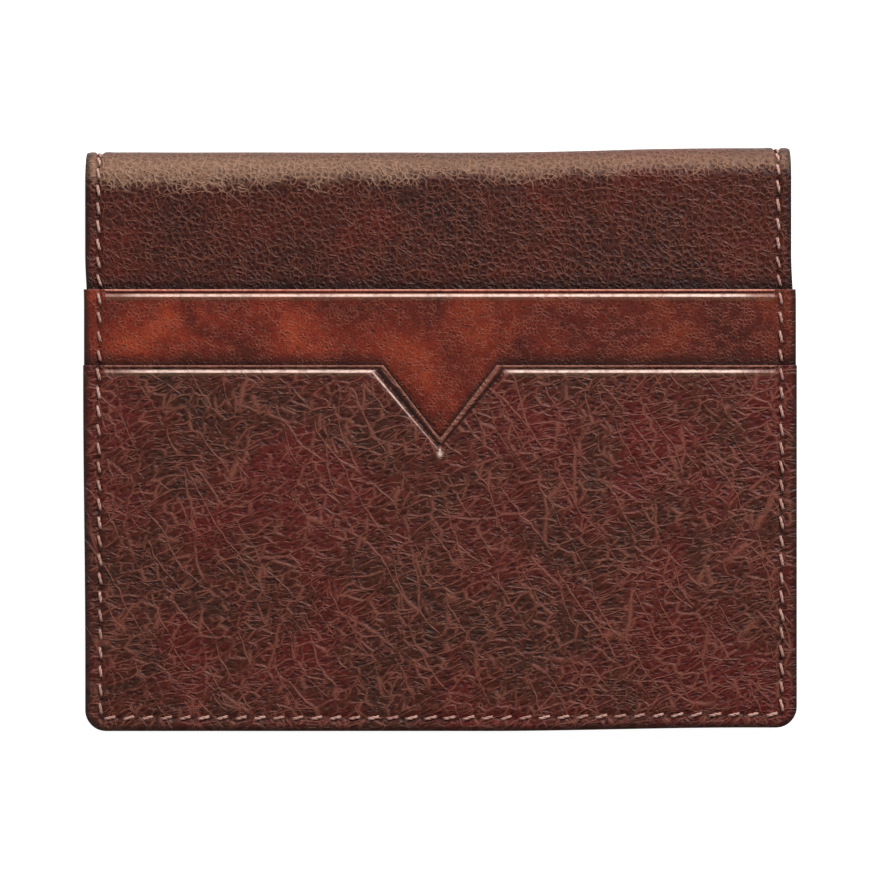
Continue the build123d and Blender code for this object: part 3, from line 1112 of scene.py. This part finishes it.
# The spine's leather rolls round in an upper and a lower quarter, one for each hinge.
front_top = limits("front_cover")[1][2]
cover_depth = front_top - limits("front_cover")[0][2]
lining_half = limits("front_lining")[1][0]
lining_depth = limits("front_lining")[1][2] - limits("front_lining")[0][2]
lining_outside = limits("spine_lining")[1][2] - spine_radius
lining_inside = lining_outside - lining_depth
stitch_step = roll_length / SPINE_STITCHES
spine_seam = Seam().sides(spine_y, back_s, REACH, REACH, stitch_step)
quarters = {"upper": (spine_y, crown_s), "lower": (crown_s, back_s)}


def bend_with_spine(piece, quarter):
    """Bakes a quarter of the roll's placement into its mesh; it is not bent with a hinge here.
    """
    if quarter == "upper":
        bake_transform(piece)
    else:
        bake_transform(piece)


for quarter, (low_s, high_s) in quarters.items():
    suffix = f"_{quarter}"
    turned = {
        "row_values": spaced(low_s, (low_s + SLIVER, SLIVER), (high_s - SLIVER, FINE), (high_s, SLIVER)),
        "open_low": True,
        "open_high": True,
    }
    outside = on_roll(spine_radius, 1)
    rolled = sheet(cover_half, low_s, high_s, cover_depth, outside, seam=spine_seam, **turned)
    piece = finish_piece(rolled, "spine_cover", "cover_leather", suffix=suffix)
    bend_with_spine(piece, quarter)

    inside = on_roll(lining_inside, -1)
    turned.update(columns=plain_columns(lining_half, ROLL_EDGE), edge=ROLL_EDGE, seed=2)
    rolled = sheet(lining_half, low_s, high_s, lining_depth, inside, -1, **turned)
    piece = finish_piece(rolled, "spine_lining", "lining_cloth", suffix=suffix)
    bend_with_spine(piece, quarter)

    sewn = thread(Seam().sides(low_s, high_s, pitch=stitch_step), outside, 1, 16)
    piece = finish_piece(sewn, "spine_seam", "thread", suffix=suffix)
    bend_with_spine(piece, quarter)


def flat_layer(node, facing, slot, body, open_high):
    """A layer that shows only at its edges or round a pocket: lining or stiffener."""
    half = limits(node)[1][0]
    layer = level_sheet(
        node,
        facing,
        columns=plain_columns(half, CUT_EDGE),
        rows=1.0,
        seam_rows=0.5,
        corner=CORNER if half > lining_half - 0.01 else 0.0,
        edge=CUT_EDGE,
        open_high=open_high,
        seed=2,
    )
    return finish_piece(layer, node, slot, body)


flat_layer("front_interlining", 1, "stiffener_board", "front_half", False)
flat_layer("back_interlining", 1, "stiffener_board", "back_half", False)
for side, facing in (("front", -1), ("back", 1)):
    node = f"{side}_lining"
    cloth = flat_layer(node, facing, "lining_cloth", f"{side}_half", True)


def pocket_panel(node, facing, slot, body, seam, seed, notched=False, covered_by=None):
    """A pocket or sleeve panel, its mouth creased, and its seam pricked where it shows."""
    panel = level_sheet(
        node,
        facing,
        columns=notch_columns(limits(node)[1][0]) if notched else None,
        mouth=True,
        notched=notched,
        seam=seam,
        covered_by=covered_by,
        seed=seed,
    )
    finish_piece(panel, node, slot, body)


def foot_of(mouth, card_show):
    """Height of a hem's foot: a card rests on it, and stands out of the mouth by card_show."""
    return max(HEM_WIDTH, mouth - (CARD_HEIGHT - card_show) - free_y)


def turned_hem(node, slot, body, foot, seed):
    """The turned margin behind a panel: a strip along each side and one along the foot."""
    low, high = limits(node)
    half, thickness = high[0], high[2] - low[2]
    place = on_face(high[2], 1)
    shape = Shape()
    strip = {"edge": HEM_EDGE, "seed": seed, "shape": shape}
    columns = plain_columns(half, HEM_EDGE, 3.0)
    foot_y = low[1] + foot
    sheet(half, low[1], foot_y, thickness, place, columns=columns, rows=1.0, seam_rows=0.5, **strip)
    strip_half = HEM_WIDTH / 2
    columns = spaced(HEM_EDGE - strip_half, (strip_half - HEM_EDGE, 0.4))
    for side in (-1, 1):
        middle = side * (half - strip_half)

        def beside(x, s, h, middle=middle):
            return place(x + middle, s, h)

        start = foot_y + HEM_SPLIT
        strip.update(columns=columns, rows=0.8, seam_rows=0.4, corner=0.0)
        sheet(strip_half, start, high[1], thickness, beside, **strip)
    finish_piece(shape, node, slot, body)


def base_stitches(node, body, half, seed):
    """The hidden row of stitches that closes the foot of a slot."""
    low, high = limits(node)
    row = (low[1] + high[1]) / 2
    run = half - HEM_WIDTH
    count = round(2 * run / STITCH_PITCH)
    step = 2 * run / count
    seam = Seam()
    seam.stitches = [(-run + step * (i + 0.5), row, 0.0) for i in range(count)]
    sewn = thread(seam, on_face(low[2] + BASE_RISE, 1), 1, seed)
    finish_piece(sewn, node, "thread", body)


# Outside pockets, on the front cover.
rear_top = limits("outer_rear_pocket")[1][2]
notched_top = limits("outer_notched_pocket")[1][2]
rear_seam = Seam().sides(notched_mouth, rear_mouth, REACH, REACH)
notched_seam = Seam().sides(seam_y, notched_mouth, reach_high=REACH).foot()
rear, notched = "outer_rear_pocket", "outer_notched_pocket"
rear_leather, notched_leather = "rear_pocket_leather", "notched_pocket_leather"
shaded = above(notched_mouth, True)
pocket_panel(rear, 1, rear_leather, "front_half", rear_seam, 5, covered_by=shaded)
pocket_panel(notched, 1, notched_leather, "front_half", notched_seam, 6, notched=True)
turned_hem(f"{rear}_hem", rear_leather, "front_half", foot_of(rear_mouth, REAR_CARD_SHOW), 5)
turned_hem(f"{notched}_hem", notched_leather, "front_half", HEM_WIDTH, 6)
base_stitches(f"{rear}_base_seam", "front_half", pocket_half, 21)

sewn = Shape()
for run, top in ((cover_seam, front_top), (rear_seam, rear_top), (notched_seam, notched_top)):
    thread(run, on_face(top, 1), 1, round(10 * top), shape=sewn)
finish_piece(sewn, "front_seam_outside", "thread", "front_half")

# Inside of the front cover: one note sleeve.
sleeve_seam = Seam().sides(seam_y, inner_end, reach_high=REACH).foot()
pocket_panel("front_sleeve_panel", -1, "inner_leather", "front_half", sleeve_seam, 7)
turned_hem("front_sleeve_hem", "inner_leather", "front_half", HEM_WIDTH, 7)
sleeve_face = on_face(limits("front_sleeve_panel")[0][2], -1)
finish_piece(thread(sleeve_seam, sleeve_face, -1, 31), "front_seam_inside", "thread", "front_half")

# The seam on the back cover, and inside that cover a note sleeve and the stepped card slots.
sewn = thread(back_seam, on_face(0.0, -1), -1, 32, back_pattern)
finish_piece(sewn, "back_seam_outside", "thread", "back_half")
slots = sorted(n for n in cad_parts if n.startswith("card_slot") and n.endswith("panel"))
stack = ["back_sleeve_panel", *slots]
mouths = [inner_end] + [limits(node)[1][1] for node in slots]
sewn = Shape()
for number, (node, mouth) in enumerate(zip(stack, mouths)):
    if number + 1 < len(stack):
        next_mouth = mouths[number + 1]
        run, shaded = Seam().sides(next_mouth, mouth, REACH, REACH), above(next_mouth)
    else:
        run, shaded = Seam().sides(seam_y, mouth, reach_high=REACH).foot(), None
    pocket_panel(node, 1, "inner_leather", "back_half", run, 8 + number, covered_by=shaded)
    foot = foot_of(mouth, CARD_SHOW) if number else HEM_WIDTH
    turned_hem(node.replace("panel", "hem"), "inner_leather", "back_half", foot, 8 + number)
    if 0 < number < len(slots):
        base_seam = node.replace("panel", "base_seam")
        base_stitches(base_seam, "back_half", cover_half, 39 + number)
    thread(run, on_face(limits(node)[1][2], 1), 1, 33 + number, shape=sewn)
finish_piece(sewn, "back_seam_inside", "thread", "back_half")


# ---- floor, light and camera ----

FLOOR_Z = -0.06             # just under the lowest stitch
FLOOR_SIZE = 6000.0
FIELD = 125.7               # width of the view at the front's face
LAMPS = (                   # name, place and size in metres, power in watts
    ("key", (0.22, 0.46, 0.40), 0.30, 6.2),
    ("fill", (-0.45, -0.20, 0.50), 0.50, 1.0),
)


def pale_floor():
    """A plain floor that glows a little, so that it stays white and the shadow on it is weak."""
    bpy.ops.mesh.primitive_plane_add(size=FLOOR_SIZE * MM, location=(0, 0, FLOOR_Z * MM))
    floor = bpy.context.object
    floor.name = "studio_floor"
    paint = Paint("studio_floor")
    where = paint.add("ShaderNodeTexCoord", {}, "Object")
    tone = paint.noise(where, 3.0, 2.0)
    base = paint.mix(paint.times(tone, 0.02), (0.3, 0.3, 0.3, 1), (0.28, 0.28, 0.28, 1))
    rough = paint.between(tone, 0.0, 1.0, 0.85, 0.95)
    glow = {"Emission_Color": (1, 1, 1, 1), "Emission_Strength": 0.93}
    paint.finish(base, rough, paint.bump(tone, 0.00001), Specular_IOR_Level=0.1, **glow)
    floor.data.materials.append(paint.material)


def soft_sky():
    """An even light from all round, weaker from above so that the leather keeps its depth."""
    world = bpy.data.worlds.new("studio")
    world.use_nodes = True
    tree = world.node_tree
    tree.nodes.clear()
    direction = tree.nodes.new("ShaderNodeTexCoord")
    apart = tree.nodes.new("ShaderNodeSeparateXYZ")
    shade = tree.nodes.new("ShaderNodeValToRGB")
    for element, at, grey in zip(shade.color_ramp.elements, (0.0, 0.9), (0.42, 0.07)):
        element.position = at
        element.color = (grey, grey, grey, 1)
    background = tree.nodes.new("ShaderNodeBackground")
    end = tree.nodes.new("ShaderNodeOutputWorld")
    tree.links.new(direction.outputs["Generated"], apart.inputs[0])
    tree.links.new(apart.outputs[2], shade.inputs[0])
    tree.links.new(shade.outputs[0], background.inputs[0])
    tree.links.new(background.outputs[0], end.inputs[0])
    bpy.context.scene.world = world


def lamps():
    """One broad key light from the upper right, and a weak fill."""
    for name, place, size, power in LAMPS:
        light = bpy.data.lights.new(name, "AREA")
        light.size = size
        light.energy = power
        lamp = bpy.data.objects.new(name, light)
        lamp.location = place
        lamp.rotation_euler = (-Vector(place)).to_track_quat("-Z", "Y").to_euler()
        bpy.context.scene.collection.objects.link(lamp)


def overhead_camera():
    """Straight above the middle of the wallet, from far enough to look almost flat."""
    camera = bpy.data.objects.new("camera", bpy.data.cameras.new("camera"))
    camera.data.lens = 190.0
    camera.data.sensor_width = 36.0
    distance = FIELD * camera.data.lens / camera.data.sensor_width
    camera.location = (0.0, 0.0, (notched_top + distance) * MM)
    camera.data.clip_start, camera.data.clip_end = 0.01, 10
    bpy.context.scene.collection.objects.link(camera)
    bpy.context.scene.camera = camera


pale_floor()
soft_sky()
lamps()
overhead_camera()
bpy.context.scene.view_settings.view_transform = "Standard"
